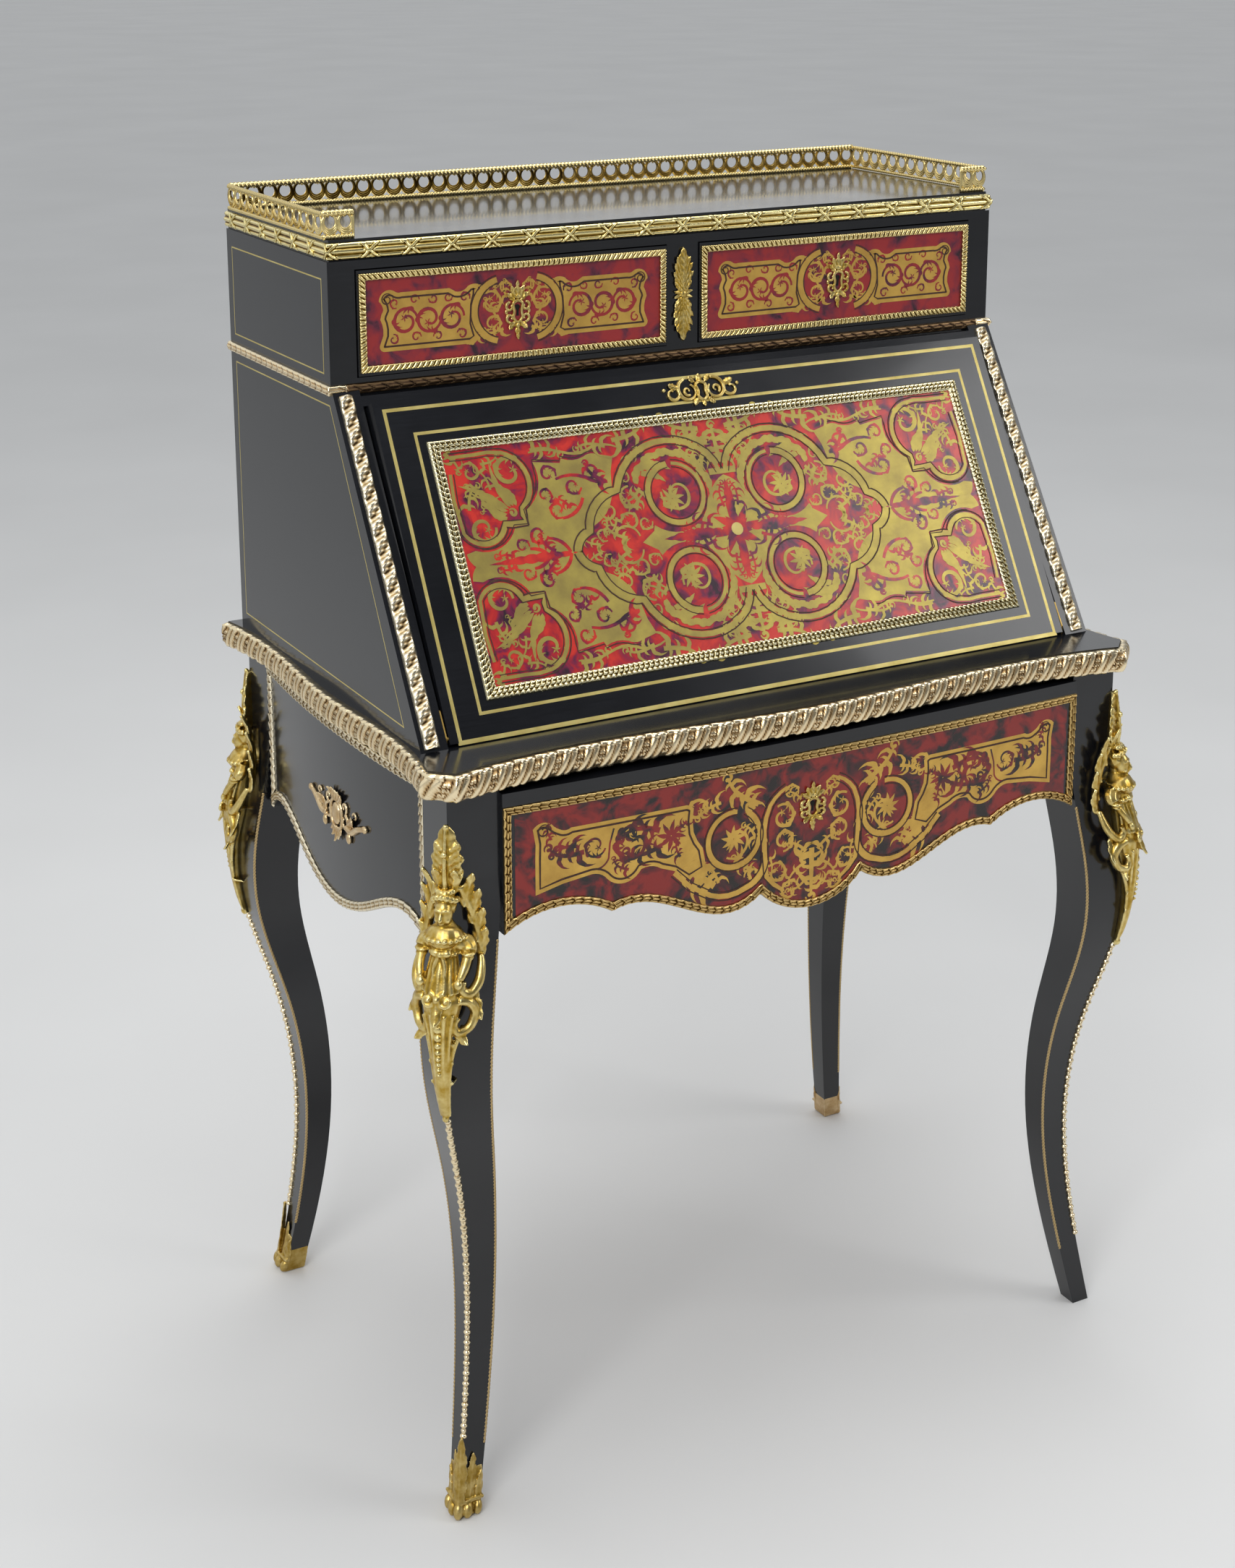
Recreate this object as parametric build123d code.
from build123d import *
import os
from math import atan2, cos, pi, radians, sin, sqrt

# A lady's slant-front writing desk on four cabriole legs, in millimetres.
# X runs across the desk, the front faces -Y, Z is up and the feet stand on Z = 0.
# The origin is midway between the legs, on the floor.

# ---------------------------------------------------------------- driving dimensions
slab_half_width = 370.0      # slab over its gilt edge, at the corners
slab_half_depth = 248.0
slab_top = 696.0             # upper face of the slab
slab_thickness = 24.5
slab_cant = 14.0             # canted front corners
serpentine_dip = 10.0        # how far the serpentine edges draw in
serpentine_rise = 4.0        # how far short of the corners the middle stands
edge_moulding_height = 24.0
edge_moulding_width = 9.0

leg_inset_x = 22.0           # from the slab's edge to the arris of a leg's post
leg_inset_y = 18.7
post_side = 48.0
knee_height = 455.0
knee_kick = 13.5             # outward swell of the knee, on each face
knee_side = 45.5
calf_height = 185.0
calf_tuck = 18.5             # how far the calf draws in, on each face
calf_side = 26.5
foot_kick = 4.0              # outward turn of the foot
foot_side = 19.0
back_leg_rake = 8.0          # the back feet stand this much further in, on each face

case_inset = 20.0            # from the slab's ends to the case sides
case_back_inset = 10.0
case_depth = 423.0           # at its foot
slant_depth = 174.5          # how far the slant front leans back
upper_height = 106.8         # from the waist to the top board
side_thickness = 25.0
panel_thickness = 8.0        # back panel
shelf_thickness = 15.0       # shelf that carries the two upper drawers
shelf_step = 4.4             # shelf over the waist line
post_half_width = 16.5       # partition between the two upper drawers
upper_rail_height = 8.0      # rail over the two upper drawers

apron_thickness = 16.0
apron_setback = 2.0          # side apron behind the leg's face, where they meet
apron_bow = 10.0             # swell of the side apron at mid length
apron_tip_drop = 149.5       # depths below the slab along the lower edge of the side apron
apron_arch_drop = 132.5
apron_belly_drop = 175.5
apron_mount_size = (136.0, 64.0)
apron_mount_drop = 86.0      # middle of the side cartouche below the slab
apron_mount_shift = 12.0     # forward of the apron's middle
apron_mount_thickness = 4.0

frieze_gap = 3.5             # running clearance under the slab
frieze_proud = 5.0           # frieze front beyond the legs' front faces, at its ends
frieze_bow = 8.0             # further swell at the middle
frieze_thickness = 15.0
frieze_tip_drop = 125.0      # depths below its top along the scalloped lower edge
frieze_arch_drop = 109.0
frieze_cusp_drop = 123.0
frieze_lobe_drop = 147.0
frieze_notch_drop = 137.0
frieze_belly_drop = 160.0
frieze_cusp_x = 200.0
frieze_lobe_x = 98.0
frieze_notch_x = 53.0
frieze_frame_margin = 12.0   # above the gilt frame
frieze_frame_width = 8.0
frieze_lock_drop = 64.0      # keyhole plate below the frieze top
frieze_plate_size = (26.0, 46.0)

fall_side_gap = 2.5
fall_thickness = 18.0
fall_length = 305.7          # from the foot of the slant to the fall's upper edge
fall_ajar = 2.46             # degrees that the fall stands off its stop at rest
pivot_depth = 2.4            # hinge axis behind the fall's face
pivot_height = 6.6           # hinge axis over the slab
pivot_radius = 1.4
pivot_reach = 9.0            # pin length inside the fall
pivot_running_gap = 0.05
pivot_plate_thickness = 1.2
pivot_plate_height = 28.0
stop_lip = 12.0              # lip behind the fall, along the slant
stop_lip_depth = 10.0
fall_floor_gap = 0.5         # swinging clearance over the slab
fall_frame_inset = 41.5      # gilt frame from the fall's ends
fall_frame_low = 34.0        # along the slant, from its foot
fall_frame_drop = 40.2       # from the fall's upper edge
fall_plate_size = (30.0, 84.0)
fall_plate_drop = 22.0
frame_width = 8.5
frame_thickness = 3.5
plate_thickness = 1.4        # keyhole plates
fall_seat_gap = 0.4          # fall's back to its stop when shut
fall_edge_gap = 2.0          # fall's upper edge to the rail
fall_rail_width = 21.9       # face of the rail, along the slant, up to the waist
leather_thickness = 1.2
leather_border = 32.0
lock_width = 64.0
lock_height = 36.0
lock_thickness = 9.0

drawer_gap = 1.0             # running clearance round each drawer front
drawer_slack = 1.5           # box inside its opening, each side
drawer_front_thickness = 16.0
drawer_wall = 8.0
drawer_floor = 5.0
upper_drawer_height = 78.0   # sides of the upper drawers
drawer_proud = 1.5           # upper drawer fronts beyond the case
drawer_frame_margin = 1.3
drawer_frame_width = 6.5
partition_mount_width = 26.0
partition_mount_height = 88.0
upper_plate_size = (24.0, 54.0)
frieze_box_inset = 20.0
frieze_box_drop = 6.0        # sides below the frieze top
frieze_box_height = 98.0
frieze_box_depth = 369.3
runner_height = 10.0
runner_reach = 14.0          # how far a runner passes under the drawer

top_overhang = 3.2
top_front_overhang = 3.5
top_back_overhang = 2.5
top_thickness = 18.2
top_moulding_height = 15.5
top_moulding_width = 6.0
waist_moulding_height = 9.6
waist_moulding_proud = 5.0
slant_moulding_width = 14.0
slant_moulding_margin = 4.0
slant_moulding_thickness = 5.0

gallery_side_inset = 2.2
gallery_front_inset = 11.4
gallery_back_inset = 10.3
gallery_height = 24.0
gallery_thickness = 2.2
gallery_return = 30.0        # front returns
gallery_rail = 4.0
gallery_pitch = 20.0
gallery_bar = 5.0            # metal left between two openings

fitting_setback = 40.5       # inner fitting behind the upper case
small_drawer_space = 59.0    # height for the two small drawers
fitting_shelf_thickness = 9.0
fitting_divider = 8.0
pigeonhole_count = 4
small_front_thickness = 12.0
small_drawer_post = 10.0
knob_radius = 7.0
knob_length = 12.0
drawer_back_gap = 12.0       # behind each drawer box when shut
keyhole_radius = 2.4

mount_drop = 20.5            # crest of the leg mount below the slab
mount_head_drop = 69.0       # head below the crest's tip
mount_scroll_drop = 74.0     # side scrolls below the head
mount_pendant = 120.0        # pendant below the side scrolls
mount_chest_drop = 21.0
mount_waist_drop = 31.0
mount_half_width = 20.0
mount_head_radius = 11.0
mount_scroll_radius = 9.0
mount_leaf_thickness = 6.0
mount_seat_gap = 0.35        # bedding between the mount and its leg
mount_seat_runs = 28
sabot_height = 74.0
sabot_thickness = 3.0

# ---------------------------------------------------------------- worked-out sizes
slab_bottom = slab_top - slab_thickness
leg_corner_x = slab_half_width - leg_inset_x
leg_corner_y = slab_half_depth - leg_inset_y
post_inner_y = leg_corner_y - post_side

case_half_width = slab_half_width - case_inset
case_inner = case_half_width - side_thickness
case_back = slab_half_depth - case_back_inset
case_front = case_back - case_depth
panel_front = case_back - panel_thickness
upper_front = case_front + slant_depth
slant_length = fall_length + fall_edge_gap + fall_rail_width
slant_height = sqrt(slant_length ** 2 - slant_depth ** 2)
waist_height = slab_top + slant_height
upper_top = waist_height + upper_height
shelf_top = waist_height + shelf_step
shelf_bottom = shelf_top - shelf_thickness
drawer_ceiling = upper_top - upper_rail_height
top_half_width = case_half_width + top_overhang
top_front = upper_front - top_front_overhang
top_back = case_back + top_back_overhang

slant = atan2(slant_depth, slant_height)     # from the vertical
fall_lean = slant - radians(fall_ajar)
fall_half_width = case_inner - fall_side_gap

frieze_half_width = leg_corner_x - post_side
frieze_top = slab_bottom - frieze_gap
frieze_face = -leg_corner_y - frieze_proud
frieze_box_half_width = frieze_half_width - frieze_box_inset
frieze_box_high = frieze_top - frieze_box_drop
frieze_box_low = frieze_box_high - frieze_box_height

fitting_front = upper_front + fitting_setback
fitting_shelf_height = slab_top + small_drawer_space + fitting_shelf_thickness
mirror_x = Plane.YZ
mirror_y = Plane.XZ


# ---------------------------------------------------------------- small helpers
def block(x0, x1, y0, y1, z0, z1):
    """A board between two opposite corners."""
    centre = Pos((x0 + x1) / 2, (y0 + y1) / 2, (z0 + z1) / 2)
    return centre * Box(x1 - x0, y1 - y0, z1 - z0)


def face_of(*edges):
    """A flat face inside a closed run of edges."""
    return make_face(Wire(edges))


def along_x(points_yz, x0, x1):
    """A straight-sided section in YZ, drawn out from x0 to x1."""
    outline = Polyline(*[(x0, y, z) for y, z in points_yz], close=True)
    return extrude(make_face(outline), amount=x1 - x0, dir=(1, 0, 0))


def save(name, solid):
    """Write one sub-part."""
    export_step(solid, os.path.join("parts", name + ".step"))


def save_pair(name, solid, plane=mirror_x, first="left", second="right"):
    """Write a sub-part and its mirror image."""
    save(name + "_" + first, solid)
    save(name + "_" + second, mirror(solid, about=plane))


def open_box(x0, x1, y0, y1, z0, z1, wall, floor):
    """A drawer box with no lid and no front: two sides, a back and a bottom."""
    outer = block(x0, x1, y0, y1, z0, z1)
    return outer - block(x0 + wall, x1 - wall, y0 - 1, y1 - wall, z0 + floor, z1 + 1)


# ---------------------------------------------------------------- slab
def slab_plan(inset=0.0):
    """Plan of the slab: serpentine front and sides, canted front corners, straight back."""
    w = slab_half_width - inset
    d = slab_half_depth - inset
    back = slab_half_depth
    cant = slab_cant + inset * (2 - sqrt(2)) / 2
    front = Spline((-w + cant, -d), (-0.56 * w, -d + serpentine_dip + serpentine_rise),
                   (0, -d + serpentine_rise / 2),
                   (0.56 * w, -d + serpentine_dip + serpentine_rise), (w - cant, -d))
    sides = []
    for sign in (-1, 1):
        sides.append(Spline((sign * w, -d + cant), (sign * (w - serpentine_dip), -0.46 * d),
                            (sign * (w - serpentine_rise), 0),
                            (sign * (w - serpentine_dip), 0.5 * d), (sign * w, back)))
    return face_of(front, Line((w - cant, -d), (w, -d + cant)), sides[1],
                   Line((w, back), (-w, back)), sides[0], Line((-w, -d + cant), (-w + cant, -d)))


def make_slab():
    board = extrude(Pos(0, 0, slab_bottom) * slab_plan(edge_moulding_width), amount=slab_thickness)
    low = slab_top - edge_moulding_height - 0.5
    high = low + edge_moulding_height
    swell = edge_moulding_height / 5
    levels = [(low, swell * 0.7), (low + edge_moulding_height / 2, 0.0), (high, swell * 0.8)]
    ring = loft([Pos(0, 0, z) * slab_plan(inset) for z, inset in levels], ruled=True)
    core = Pos(0, 0, low - 1) * slab_plan(edge_moulding_width)
    ring -= extrude(core, amount=edge_moulding_height + 2)
    save("slab", board)
    save("slab_moulding", ring)


# ---------------------------------------------------------------- legs
def leg_curves(rake, grow=0.0):
    """Outer and inner sawing lines of a leg as (offset from the post's arris, height)."""
    stations = [(0.0, foot_kick - rake, foot_side),
                (calf_height * 0.45, -calf_tuck * 0.48 - rake * 0.85, (foot_side + calf_side) / 2),
                (calf_height, -calf_tuck - rake * 0.6, calf_side),
                ((calf_height + knee_height) / 2, -calf_tuck * 0.38 - rake * 0.3,
                 (calf_side + knee_side) / 2 - 1),
                (knee_height * 0.9, knee_kick * 0.9, knee_side - 2),
                (knee_height * 1.06, knee_kick, knee_side + 2),
                (knee_height * 1.2, knee_kick * 0.35, post_side),
                (knee_height * 1.31, 0.0, post_side)]
    outer = [(kick + grow, z) for z, kick, side in stations]
    inner = [(kick - side - grow, z) for z, kick, side in stations]
    return outer, inner


def leg_slab(rake, grow, top, runs):
    """One sawn profile of a leg in the XZ plane, drawn out along Y past the section."""
    outer, inner = leg_curves(rake, grow)
    out_line = Spline(*[(x, 0, z) for x, z in outer])
    in_line = Spline(*[(x, 0, z) for x, z in inner])
    if runs:
        out_line = Polyline(*[out_line @ (i / runs) for i in range(runs + 1)])
        in_line = Polyline(*[in_line @ (i / runs) for i in range(runs + 1)])
    shoulder = outer[-1]
    heel = inner[-1]
    wire = [*out_line.edges(), Line((shoulder[0], 0, shoulder[1]), (shoulder[0], 0, top)),
            Line((shoulder[0], 0, top), (heel[0], 0, top)),
            Line((heel[0], 0, top), (heel[0], 0, heel[1])), *in_line.edges(),
            Line((inner[0][0], 0, 0), (outer[0][0], 0, 0))]
    reach = 2 * (post_side + knee_kick + grow)
    blank = extrude(make_face(Wire(wire)), amount=2 * reach, dir=(0, 1, 0))
    return Pos(0, -reach, 0) * blank


def leg_solid(rake, grow=0.0, runs=0):
    """A leg sawn from two faces, its outer arris at the origin and facing +X +Y.

    With runs, the sawing lines are that many straight cuts instead of one sweep.
    """
    sawn_x = leg_slab(rake, grow, slab_bottom, runs)
    sawn_y = mirror(sawn_x, about=Plane((0, 0, 0), x_dir=(0, 0, 1), z_dir=(1, -1, 0)))
    return sawn_x & sawn_y


def at_corner(solid, sx, sy):
    """Take a piece drawn facing +X +Y at the origin to one of the four legs."""
    if sx < 0:
        solid = mirror(solid, about=mirror_x)
    if sy < 0:
        solid = mirror(solid, about=mirror_y)
    return Pos(sx * leg_corner_x, sy * leg_corner_y, 0) * solid


def oval_ring(reach, height, half_width, ratio, side):
    """Eight corners of a level section of a cast mount, centred beside the arris of a leg."""
    corners = [pi / 8 + i * pi / 4 for i in range(8)]
    return [(reach + ratio * half_width * cos(a), side + half_width * sin(a), height) for a in corners]


def cast_body(rings, ratio, side=0.0):
    """Faceted solid through a stack of similar rings, (reach, height, half width), ratio deep to wide."""
    outlines = [oval_ring(*ring, ratio, side) for ring in rings]
    faces = [make_face(Polyline(*outline, close=True)) for outline in (outlines[0], outlines[-1])]
    for low, high in zip(outlines, outlines[1:]):
        for i in range(8):
            j = (i + 1) % 8
            faces.append(make_face(Polyline(low[i], low[j], high[j], high[i], close=True)))
    return Solid(Shell(faces))


def mount_solid(rake):
    """Bronze mount on a leg's arris: leafy crest, draped bust, side scrolls, pendant."""
    knee = knee_kick * sqrt(2)
    wide = mount_half_width
    crest_tip = slab_bottom - mount_drop
    head = crest_tip - mount_head_drop
    chest = head - mount_chest_drop
    waist = chest - mount_waist_drop
    scroll = head - mount_scroll_drop
    foot = scroll - mount_pendant
    half_leaf = [(0, crest_tip), (wide * 0.4, crest_tip - 12), (wide * 0.7, crest_tip - 20),
                 (wide * 0.7, crest_tip - 30), (wide, crest_tip - 38), (wide * 0.75, head + 7)]
    outline = half_leaf + [(-x, z) for x, z in reversed(half_leaf[1:])]
    leaf = make_face(Polyline(*[(-mount_leaf_thickness, x, z) for x, z in outline], close=True))
    crest = extrude(leaf, amount=mount_leaf_thickness * 1.5, dir=(1, 0, 0))
    r = mount_head_radius
    skull = cast_body([(5, head + 1.4 * r, r * 0.55), (6, head + 0.9 * r, r * 0.9), (7, head, r),
                       (7, head - 0.8 * r, r * 0.77), (4, head - 1.45 * r, r * 0.55)], 1.1)
    ruff = cast_body([(5, head - 0.8 * r, r * 0.9), (6, head - 18, wide), (5, chest, wide - 4)], 0.8)
    bust = cast_body([(knee * 0.3, chest, wide - 3), (knee * 0.6, waist + 9, wide - 1),
                      (knee * 0.7, waist, wide - 6), (knee * 0.8, scroll - 2, wide + 3),
                      (knee * 0.8, scroll - 18, wide + 2), (knee * 0.85, (scroll + foot) / 2, wide * 0.65),
                      (knee * 0.62, foot, wide * 0.2)], 0.78)
    solid = crest + skull + ruff + bust
    e = mount_scroll_radius
    for sign in (-1, 1):
        solid += cast_body([(knee * 0.5, scroll + 0.9 * e, e * 0.55), (knee * 0.55, scroll + 0.2 * e, e),
                            (knee * 0.55, scroll - 1.1 * e, e), (knee * 0.5, scroll - 1.9 * e, e * 0.55)],
                           1.1, sign * (wide + 2))
    seat = leg_solid(rake, grow=mount_seat_gap, runs=mount_seat_runs)
    solid = Rot(0, 0, 45) * solid - seat
    return max(solid.solids(), key=lambda s: s.volume)


def make_legs():
    names = [("front_left", -1, -1), ("front_right", 1, -1), ("back_left", -1, 1), ("back_right", 1, 1)]
    for name, sx, sy in names:
        rake = back_leg_rake if sy > 0 else 0.0
        leg = leg_solid(rake)
        save("leg_" + name, at_corner(leg, sx, sy))
        save("leg_mount_" + name, at_corner(mount_solid(rake), sx, sy))
        if name == "front_right":
            continue       # this foot has lost its sabot
        shoe = leg_solid(rake, grow=sabot_thickness)
        shoe &= block(-post_side * 2, post_side, -post_side * 2, post_side, 0, sabot_height)
        save("sabot_" + name, at_corner(shoe - leg, sx, sy))


# ---------------------------------------------------------------- aprons and runners
def side_apron_face(half, x):
    """Shaped elevation of a side apron in the plane at x."""
    tip = slab_bottom - apron_tip_drop
    arch = slab_bottom - apron_arch_drop
    belly = slab_bottom - apron_belly_drop
    lower = Spline((x, -half, tip), (x, -half * 0.84, arch), (x, -half * 0.4, (arch + belly) / 2 - 4),
                   (x, 0, belly), (x, half * 0.4, (arch + belly) / 2 - 4), (x, half * 0.84, arch),
                   (x, half, tip))
    return face_of(lower, Line((x, half, tip), (x, half, slab_bottom)),
                   Line((x, half, slab_bottom), (x, -half, slab_bottom)),
                   Line((x, -half, slab_bottom), (x, -half, tip)))


def apron_plan(proud, thickness):
    """Bowed plan of the left side apron, moved out by proud; its back is flat."""
    face_x = leg_corner_x - apron_setback + proud
    half = post_inner_y
    swell = ThreePointArc((-face_x, -half), (-face_x - apron_bow, 0), (-face_x, half))
    inner_x = -face_x + thickness
    return face_of(swell, Line((-face_x, half), (inner_x, half)), Line((inner_x, half), (inner_x, -half)),
                   Line((inner_x, -half), (-face_x, -half)))


def cartouche_face(x):
    """Outline of a side cartouche in the plane at x: a crowned middle with a scrolled arm at each end."""
    width, height = apron_mount_size
    half = [(0, 0.5), (0.14, 0.36), (0.22, 0.12), (0.36, 0.3), (0.5, 0.12), (0.45, -0.08), (0.3, -0.02),
            (0.2, -0.22), (0.12, -0.46), (0, -0.5)]
    outline = half + [(-u, v) for u, v in reversed(half[1:-1])]
    middle = slab_bottom - apron_mount_drop
    points = [(x, u * width - apron_mount_shift, middle + v * height) for u, v in outline]
    return make_face(Polyline(*points, close=True))


def make_aprons():
    board = extrude(apron_plan(0, apron_thickness), amount=slab_bottom)
    half = post_inner_y
    shaped = extrude(side_apron_face(half, -slab_half_width), amount=slab_half_width, dir=(1, 0, 0))
    save_pair("side_apron", board & shaped)
    crest_x = leg_corner_x - apron_setback + apron_bow + apron_mount_thickness
    cartouche = extrude(cartouche_face(-crest_x), amount=apron_thickness, dir=(1, 0, 0)) - board
    save_pair("side_mount", cartouche)

    half_x = leg_corner_x - post_side
    back_face = leg_corner_y - apron_setback
    elevation = Rot(0, 0, 90) * side_apron_face(half_x, 0)
    back = Pos(0, back_face - apron_thickness, 0) * extrude(elevation, amount=apron_thickness, dir=(0, 1, 0))
    save("back_apron", back)

    high = frieze_box_low - 0.5
    runner = block(-leg_corner_x + apron_setback + apron_thickness, -frieze_box_half_width + runner_reach,
                   -post_inner_y, post_inner_y, high - runner_height, high)
    save_pair("frieze_runner", runner)


# ---------------------------------------------------------------- frieze drawer
def frieze_plan(front_proud, thickness):
    """Bowed plan of the frieze front; its back is flat."""
    w = frieze_half_width
    y = frieze_face - front_proud
    arc = ThreePointArc((-w, y), (0, y - frieze_bow), (w, y))
    back = frieze_face - front_proud + thickness
    return face_of(arc, Line((w, y), (w, back)), Line((w, back), (-w, back)), Line((-w, back), (-w, y)))


def frieze_elevation(inset, top):
    """Front view of the frieze, its lower edge scalloped in five lobes."""
    w = frieze_half_width - inset
    k = w / frieze_half_width
    tip = frieze_top - frieze_tip_drop + 1.6 * inset
    arch = frieze_top - frieze_arch_drop + inset
    cusp = frieze_top - frieze_cusp_drop + 1.3 * inset
    lobe = frieze_top - frieze_lobe_drop + inset
    notch = frieze_top - frieze_notch_drop + inset
    belly = frieze_top - frieze_belly_drop + inset
    cusp_x, lobe_x, notch_x = frieze_cusp_x * k, frieze_lobe_x * k, frieze_notch_x * k
    edges = []
    for sign in (-1, 1):
        mid_x = sign * (w + cusp_x) / 2
        run = [ThreePointArc((sign * w, 0, tip), (mid_x, 0, arch), (sign * cusp_x, 0, cusp)),
               Spline((sign * cusp_x, 0, cusp), (sign * (cusp_x * 0.82), 0, cusp + 1),
                      (sign * lobe_x, 0, lobe), (sign * notch_x, 0, notch))]
        edges.extend(run)
    edges.append(ThreePointArc((-notch_x, 0, notch), (0, 0, belly), (notch_x, 0, notch)))
    edges += [Line((w, 0, tip), (w, 0, top)), Line((w, 0, top), (-w, 0, top)), Line((-w, 0, top), (-w, 0, tip))]
    return make_face(Wire(edges))


def through_y(face):
    """Draw an elevation out over the whole depth of the frieze."""
    return Pos(0, -slab_half_depth, 0) * extrude(face, amount=slab_half_depth, dir=(0, 1, 0))


def make_frieze_drawer():
    board = extrude(frieze_plan(0, frieze_thickness), amount=slab_bottom)
    save("frieze_front", board & through_y(frieze_elevation(0, frieze_top)))
    band = extrude(frieze_plan(frame_thickness, frame_thickness), amount=slab_bottom)
    band -= extrude(frieze_plan(0, frieze_thickness), amount=slab_bottom)
    frame_top = frieze_top - frieze_frame_margin
    ring = frieze_elevation(0, frame_top)
    hole = frieze_elevation(frieze_frame_width, frame_top - frieze_frame_width)
    save("frieze_frame", band & (through_y(ring) - through_y(hole)))
    w = frieze_box_half_width
    back_of_front = frieze_face + frieze_thickness
    save("frieze_box", open_box(-w, w, back_of_front, back_of_front + frieze_box_depth, frieze_box_low,
                                frieze_box_high, drawer_wall, drawer_floor))
    plate = Pos(0, frieze_face - frieze_bow, frieze_top - frieze_lock_drop) * Rot(90, 0, 0)
    plate = plate * escutcheon(*frieze_plate_size, plate_thickness)
    save("frieze_escutcheon", plate)


def escutcheon(width, height, thickness):
    """Keyhole plate in the XY plane: a lobed shield with a crown and a tail, pierced."""
    half = [(0, 0.5), (0.24, 0.42), (0.2, 0.32), (0.5, 0.18), (0.38, 0), (0.46, -0.16), (0.22, -0.32),
            (0.16, -0.42), (0, -0.5)]
    outline = half + [(-x, y) for x, y in reversed(half[1:-1])]
    sketch = make_face(Polyline(*[(x * width, y * height) for x, y in outline], close=True))
    key = Rot(0, 0, 22.5) * RegularPolygon(keyhole_radius, 8) + Pos(0, -4.5) * Rectangle(2.2, 9)
    return extrude(sketch - key, amount=thickness)


# ---------------------------------------------------------------- case
def slanted(y_at_foot=case_front):
    """Outline of a case side in (y, z)."""
    return [(y_at_foot, slab_top), (upper_front, waist_height), (upper_front, upper_top),
            (case_back, upper_top), (case_back, slab_top)]


def make_case():
    save_pair("case_side", along_x(slanted(), -case_half_width, -case_inner))
    w = case_inner
    save("case_back", block(-w, w, panel_front, case_back, slab_top, upper_top))
    save("drawer_shelf", block(-w, w, upper_front, panel_front, shelf_bottom, shelf_top))
    save("upper_rail", block(-w, w, upper_front, panel_front, drawer_ceiling, upper_top))
    save("drawer_partition", block(-post_half_width, post_half_width, upper_front, panel_front,
                                   shelf_top, drawer_ceiling))
    inset = top_moulding_width
    save("top_board", block(-top_half_width + inset, top_half_width - inset, top_front + inset, top_back,
                            upper_top, upper_top + top_thickness))
    ring = block(-top_half_width, top_half_width, top_front, top_back,
                 upper_top + 0.6, upper_top + 0.6 + top_moulding_height)
    rim = ring.edges().filter_by(Axis.Z, reverse=True)
    rim = rim.filter_by(lambda e: e.center().Y < top_back - 1)
    ring = fillet(rim, 3.0)
    ring -= block(-top_half_width + inset, top_half_width - inset, top_front + inset, top_back + 1,
                  upper_top, upper_top + top_thickness)
    save("top_moulding", ring)

    proud = waist_moulding_proud
    low = waist_height - waist_moulding_height
    waist = block(-case_half_width - proud, case_half_width + proud, upper_front - proud, case_back,
                  low, waist_height)
    rim = waist.edges().filter_by(Axis.Z, reverse=True)
    rim = rim.filter_by(lambda e: e.center().Y < case_back - 1)
    waist = fillet(rim, 2.5)
    waist -= along_x(slanted(), -case_half_width, case_half_width)
    save("waist_moulding", waist)


def slant_frame(lean, x=0.0, along=0.0, out=0.0):
    """Plane lying on a slanted front: x across, y up the slant, z outward."""
    up = Vector(0, sin(lean), cos(lean))
    normal = Vector(0, -cos(lean), sin(lean))
    origin = Vector(x, case_front, slab_top) + up * along + normal * out
    return Plane(origin=origin, x_dir=(1, 0, 0), z_dir=normal)


def make_slant_mouldings():
    bar_length = slant_length - waist_moulding_height / cos(slant)
    centre = -case_half_width + slant_moulding_margin + slant_moulding_width / 2
    bar = Pos(0, bar_length / 2 + 1, slant_moulding_thickness / 2) * Box(
        slant_moulding_width, bar_length - 2, slant_moulding_thickness)
    top_edges = bar.edges().filter_by(Axis.Y).sort_by(Axis.Z)[-2:]
    bar = fillet(top_edges, 4.0)
    placed = slant_frame(slant, x=centre) * bar
    placed &= block(-case_half_width, 0, -slab_half_depth, 0, slab_top, waist_height - waist_moulding_height)
    save_pair("slant_moulding", placed)


def make_fall_rail():
    """Rail over the fall, with a lip behind it that the fall shuts against."""
    up = Vector(0, sin(slant), cos(slant))
    inward = Vector(0, cos(slant), -sin(slant))
    foot = Vector(0, case_front, slab_top)
    edge = foot + up * (fall_length + fall_edge_gap)
    rebate = edge + inward * (fall_thickness + fall_seat_gap)
    lip = rebate - up * stop_lip
    lip_back = lip + inward * stop_lip_depth
    reach = (shelf_bottom - lip_back.Z) / cos(slant)
    back_top = lip_back + up * reach
    front_top = foot + up * ((shelf_bottom - slab_top) / cos(slant))
    points = [(p.Y, p.Z) for p in (front_top, edge, rebate, lip, lip_back, back_top)]
    save("fall_rail", along_x(points, -case_inner, case_inner))


# ---------------------------------------------------------------- fall front
def hinge_point():
    """The fall's hinge axis as (along the slant, y, z)."""
    along = (pivot_height + pivot_depth * sin(fall_lean)) / cos(fall_lean)
    y = case_front + along * sin(fall_lean) + pivot_depth * cos(fall_lean)
    return along, y, slab_top + pivot_height


def fall_section():
    """Foot of the fall's section in the slant frame, (along, out), round the hinge."""
    along = hinge_point()[0]
    nose = pivot_height - fall_floor_gap
    face_end = along - sqrt(nose ** 2 - pivot_depth ** 2)
    middle = (along - nose * cos(0.1), -pivot_depth + nose * sin(0.1))
    lowest = (along - nose * cos(slant), -pivot_depth - nose * sin(slant))
    heel_drop = (fall_thickness + lowest[1]) * sin(slant) / cos(slant)
    heel = (lowest[0] + heel_drop, -fall_thickness)
    return face_end, middle, lowest, heel


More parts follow.
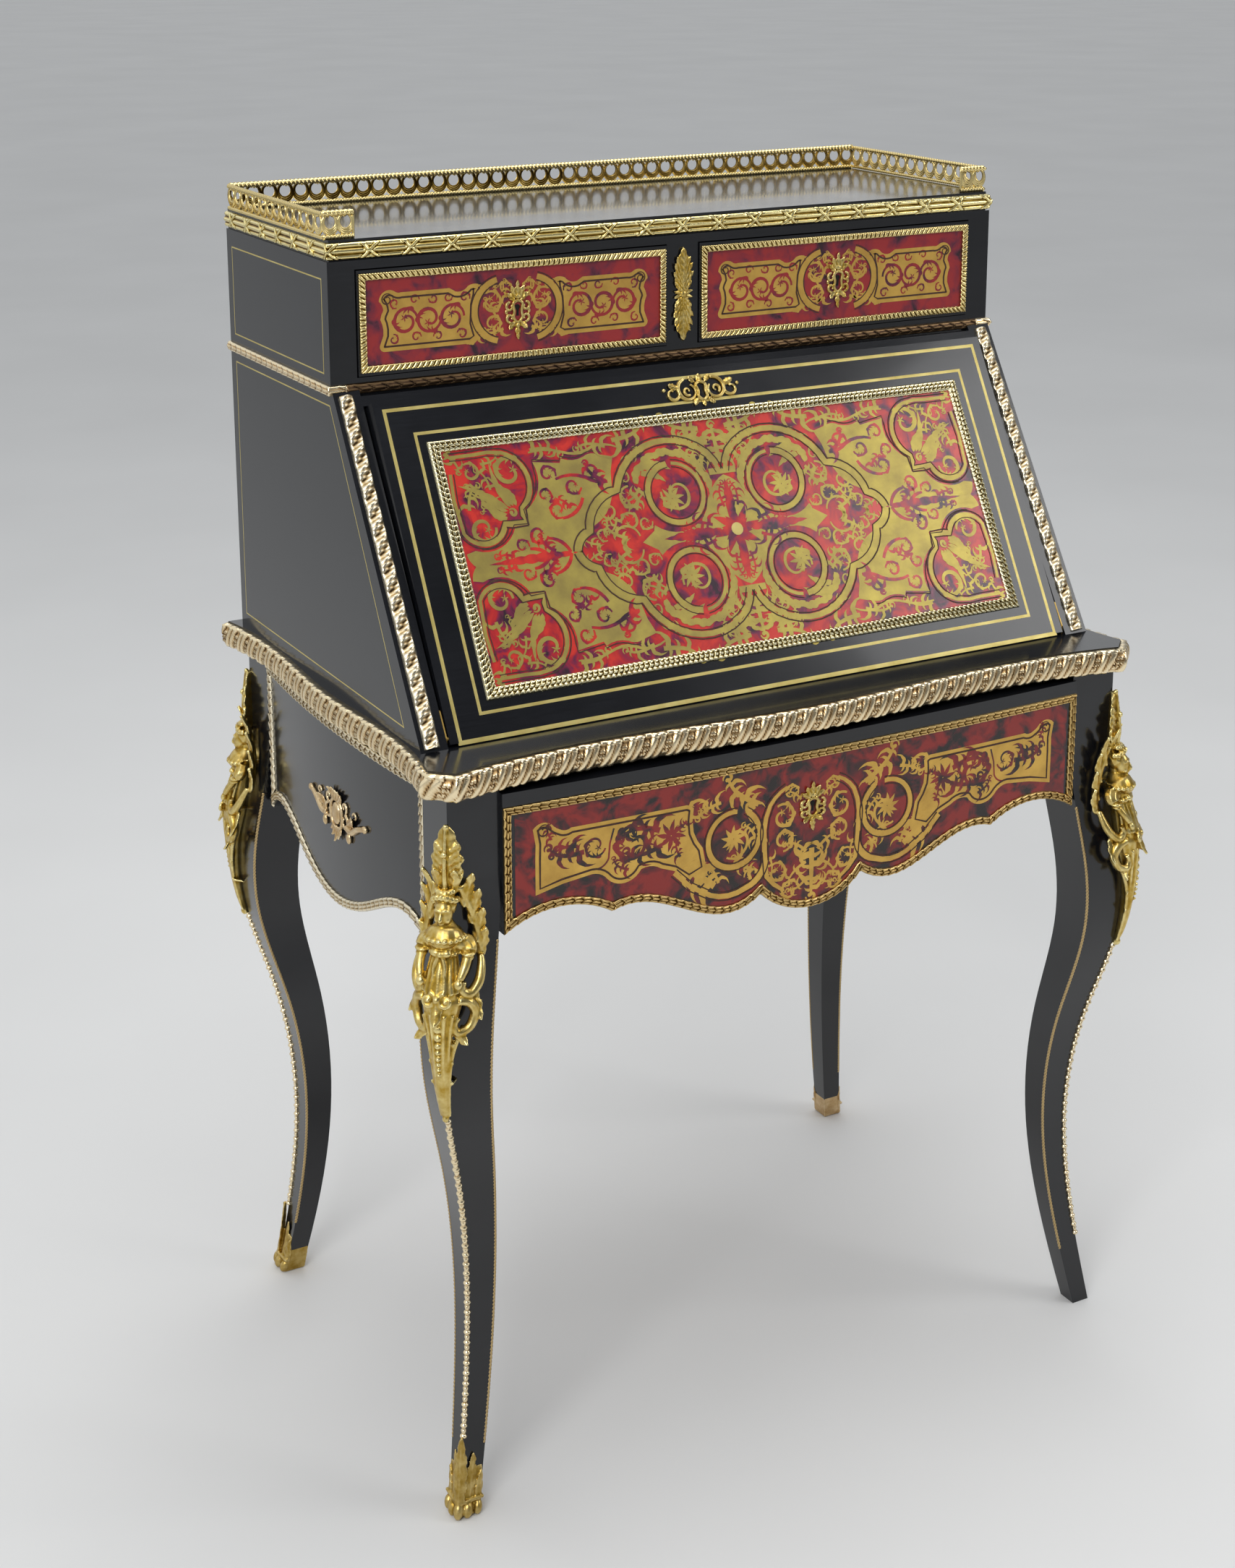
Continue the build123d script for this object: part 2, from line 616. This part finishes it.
def make_fall():
    frame = slant_frame(fall_lean)
    along = hinge_point()[0]
    face_end, middle, lowest, heel = fall_section()
    w = fall_half_width
    edges = [Line((-w, fall_length, 0), (-w, face_end, 0)),
             ThreePointArc((-w, face_end, 0), (-w, *middle), (-w, *lowest)),
             Line((-w, *lowest), (-w, *heel)), Line((-w, *heel), (-w, fall_length, -fall_thickness)),
             Line((-w, fall_length, -fall_thickness), (-w, fall_length, 0))]
    board = extrude(make_face(Wire(edges)), amount=2 * w, dir=(1, 0, 0))
    lock_top = fall_length - 3
    lock_low = lock_top - lock_height
    pocket = block(-lock_width / 2, lock_width / 2, lock_low, lock_top,
                   -fall_thickness - 1, -fall_thickness + lock_thickness)
    leather_high = lock_low - leather_border / 2
    skiver = block(-w + leather_border, w - leather_border, leather_border, leather_high,
                   -fall_thickness, -fall_thickness + leather_thickness)
    board = board - pocket - skiver
    for sign in (-1, 1):
        bore = Pos(sign * (w - pivot_reach / 2 - 0.5), along, -pivot_depth) * Rot(0, 90, 0)
        board -= bore * Cylinder(pivot_radius + pivot_running_gap, pivot_reach + 1.0 + 1.0)
    save("fall_board", frame * board)
    save("fall_leather", frame * skiver)
    case = block(-lock_width / 2, lock_width / 2, lock_low, lock_top, -fall_thickness,
                 -fall_thickness + lock_thickness)
    save("fall_lock", frame * case)
    x1, low, high = w - fall_frame_inset, fall_frame_low, fall_length - fall_frame_drop
    ring = block(-x1, x1, low, high, 0, frame_thickness)
    hole = block(-x1 + frame_width, x1 - frame_width, low + frame_width, high - frame_width,
                 -1, frame_thickness + 1)
    save("fall_frame", frame * (ring - hole))
    plate = Pos(0, fall_length - fall_plate_drop, 0) * Rot(0, 0, 90) * escutcheon(*fall_plate_size, plate_thickness)
    save("fall_escutcheon", frame * plate)


def make_pivots():
    """Brass plates let into the case sides, each with the pin that carries the fall."""
    axis_y, axis_z = hinge_point()[1:]
    pin_start = -case_inner
    pin_end = -fall_half_width + pivot_reach
    pin = Pos((pin_start + pin_end) / 2, axis_y, axis_z) * Rot(0, 90, 0)
    pin = pin * Cylinder(pivot_radius, pin_end - pin_start)
    plate = block(-case_inner, -case_inner + pivot_plate_thickness, axis_y - 1.5, axis_y + 14,
                  slab_top, slab_top + pivot_plate_height)
    plate &= along_x(slanted(), -case_half_width, 0)
    plate -= block(-case_inner - 1, 0, case_front - 1, axis_y - 3, slab_top, waist_height)
    save_pair("fall_pivot", pin + plate)


# ---------------------------------------------------------------- upper drawers
def make_upper_drawers():
    x0 = post_half_width + drawer_gap
    x1 = case_inner - drawer_gap
    z0 = shelf_top + drawer_gap
    z1 = drawer_ceiling - drawer_gap
    face = upper_front - drawer_proud
    back_of_front = face + drawer_front_thickness
    front = block(-x1, -x0, face, back_of_front, z0, z1)
    keyhole = Pos(-(x0 + x1) / 2, face - 1, (z0 + z1) / 2) * Rot(90, 0, 0) * Cylinder(keyhole_radius, drawer_front_thickness)
    save_pair("upper_drawer_front", front - keyhole)
    box = open_box(-x1 + drawer_slack, -x0 - drawer_slack, back_of_front, panel_front - drawer_back_gap,
                   z0 + 0.5, z0 + upper_drawer_height, drawer_wall, drawer_floor)
    save_pair("upper_drawer_box", box)
    m = drawer_frame_margin
    f = drawer_frame_width
    ring = block(-x1 + m, -x0 - m, face - frame_thickness, face, z0 + 2 * m, z1 - 2 * m)
    ring -= block(-x1 + m + f, -x0 - m - f, face - 10, face + 1, z0 + 2 * m + f, z1 - 2 * m - f)
    save_pair("upper_drawer_frame", ring)
    plate = Pos(-(x0 + x1) / 2, face, (z0 + z1) / 2) * Rot(90, 0, 0)
    plate = plate * escutcheon(*upper_plate_size, plate_thickness)
    save_pair("upper_drawer_escutcheon", plate)
    w, h = partition_mount_width / 2, partition_mount_height / 2
    lozenge = Polyline((0, h), (-w, h / 3), (-w * 0.85, -h / 3), (0, -h), (w * 0.85, -h / 3), (w, h / 3),
                       close=True)
    mount = extrude(make_face(lozenge), amount=frame_thickness)
    save("partition_mount", Pos(0, upper_front, (z0 + z1) / 2) * Rot(90, 0, 0) * mount)


# ---------------------------------------------------------------- inner fitting
def make_fitting():
    w = case_inner
    low = fitting_shelf_height - fitting_shelf_thickness
    save("fitting_shelf", block(-w, w, fitting_front, panel_front, low, fitting_shelf_height))
    pitch = 2 * w / pigeonhole_count
    for i in range(1, pigeonhole_count):
        x = -w + i * pitch
        save("pigeonhole_divider_%d" % i,
             block(x - fitting_divider / 2, x + fitting_divider / 2, fitting_front + 6, panel_front,
                   fitting_shelf_height, shelf_bottom))
    half_post = small_drawer_post / 2
    save("small_drawer_partition", block(-half_post, half_post, fitting_front, panel_front, slab_top, low))
    x0 = half_post + drawer_gap
    x1 = w - drawer_gap
    z0 = slab_top + drawer_gap
    z1 = low - drawer_gap
    back_of_front = fitting_front + small_front_thickness
    drawer = block(-x1, -x0, fitting_front, back_of_front, z0, z1)
    drawer += open_box(-x1, -x0, back_of_front, panel_front - drawer_back_gap, z0, z1 - 8, drawer_wall, drawer_floor)
    knob = Cylinder(knob_radius * 0.45, knob_length * 0.7)
    knob += Pos(0, 0, knob_length * 0.65) * Cylinder(knob_radius, knob_length * 0.65)
    drawer += Pos(-(x0 + x1) / 2, fitting_front - 4, (z0 + z1) / 2) * Rot(90, 0, 0) * knob
    save_pair("small_drawer", drawer)


# ---------------------------------------------------------------- gallery
def wave_strip(length):
    """A pierced strip in the XZ plane, its foot at Z = 0 and its middle at X = 0."""
    h = gallery_height
    strip = block(-length / 2, length / 2, 0, gallery_thickness, 0, h)
    count = max(1, int(length // gallery_pitch))
    opening = gallery_pitch - gallery_bar
    wave = [(-0.5, 0), (-0.05, 0.5), (0.5, 0.25), (0.35, -0.4), (-0.2, -0.5)]
    for i in range(count):
        x = (i - (count - 1) / 2) * gallery_pitch
        points = [(x + u * opening, -1, h / 2 + v * (h - 2 * gallery_rail)) for u, v in wave]
        hole = make_face(Polyline(*points, close=True))
        strip -= extrude(hole, amount=gallery_thickness + 2, dir=(0, 1, 0))
    return strip


def make_gallery():
    z = upper_top + top_thickness
    t = gallery_thickness
    w = top_half_width - gallery_side_inset
    front = top_front + gallery_front_inset
    rear = top_back - gallery_back_inset
    back = Pos(0, rear - t, z) * wave_strip(2 * w)
    gallery = back
    for sign in (-1, 1):
        side = Rot(0, 0, 90) * wave_strip(rear - front)
        x = -w + t if sign < 0 else w
        gallery += Pos(x, (front + rear) / 2, z) * side
        end = Pos(sign * (w - gallery_return / 2), front, z) * wave_strip(gallery_return)
        gallery += end
    save("gallery", gallery)


# ---------------------------------------------------------------- build
os.makedirs("parts", exist_ok=True)
make_slab()
make_legs()
make_aprons()
make_frieze_drawer()
make_case()
make_slant_mouldings()
make_fall_rail()
make_fall()
make_pivots()
make_upper_drawers()
make_fitting()
make_gallery()
